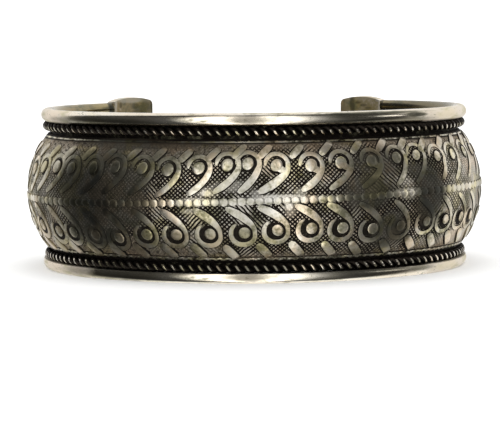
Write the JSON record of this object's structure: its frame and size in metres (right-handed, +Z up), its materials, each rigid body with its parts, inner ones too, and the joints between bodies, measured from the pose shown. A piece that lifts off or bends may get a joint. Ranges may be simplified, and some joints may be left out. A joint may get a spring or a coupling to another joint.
{
  "type": "cuff bangle",
  "caption": "Open oval cuff bangle: a domed band between round wire rims edged with twisted wire, closed at each end by a crowned block.",
  "frame": {"origin": "centre of the cuff's bounding box, on the surface that its lower edge rests on", "axes": "+Z up along the way the wrist goes in, -Y to the front of the cuff, the opening between the end blocks to +Y"},
  "size_m": [0.075, 0.0586, 0.0268],
  "materials": {
    "chased_band": "oxidised silver, raised work worn bright over dark recesses",
    "rim_wire": "silver worn smooth and bright",
    "twisted_wire": "blackened silver, bright on the tops of the strands",
    "end_block": "silver with brown and olive tarnish stains"
  },
  "bodies": {
    "root": {"band": "chased_band", "upper_rim": "rim_wire", "lower_rim": "rim_wire", "upper_rope": "twisted_wire", "lower_rope": "twisted_wire", "left_terminal": "end_block", "right_terminal": "end_block"}
  },
  "joints": []
}
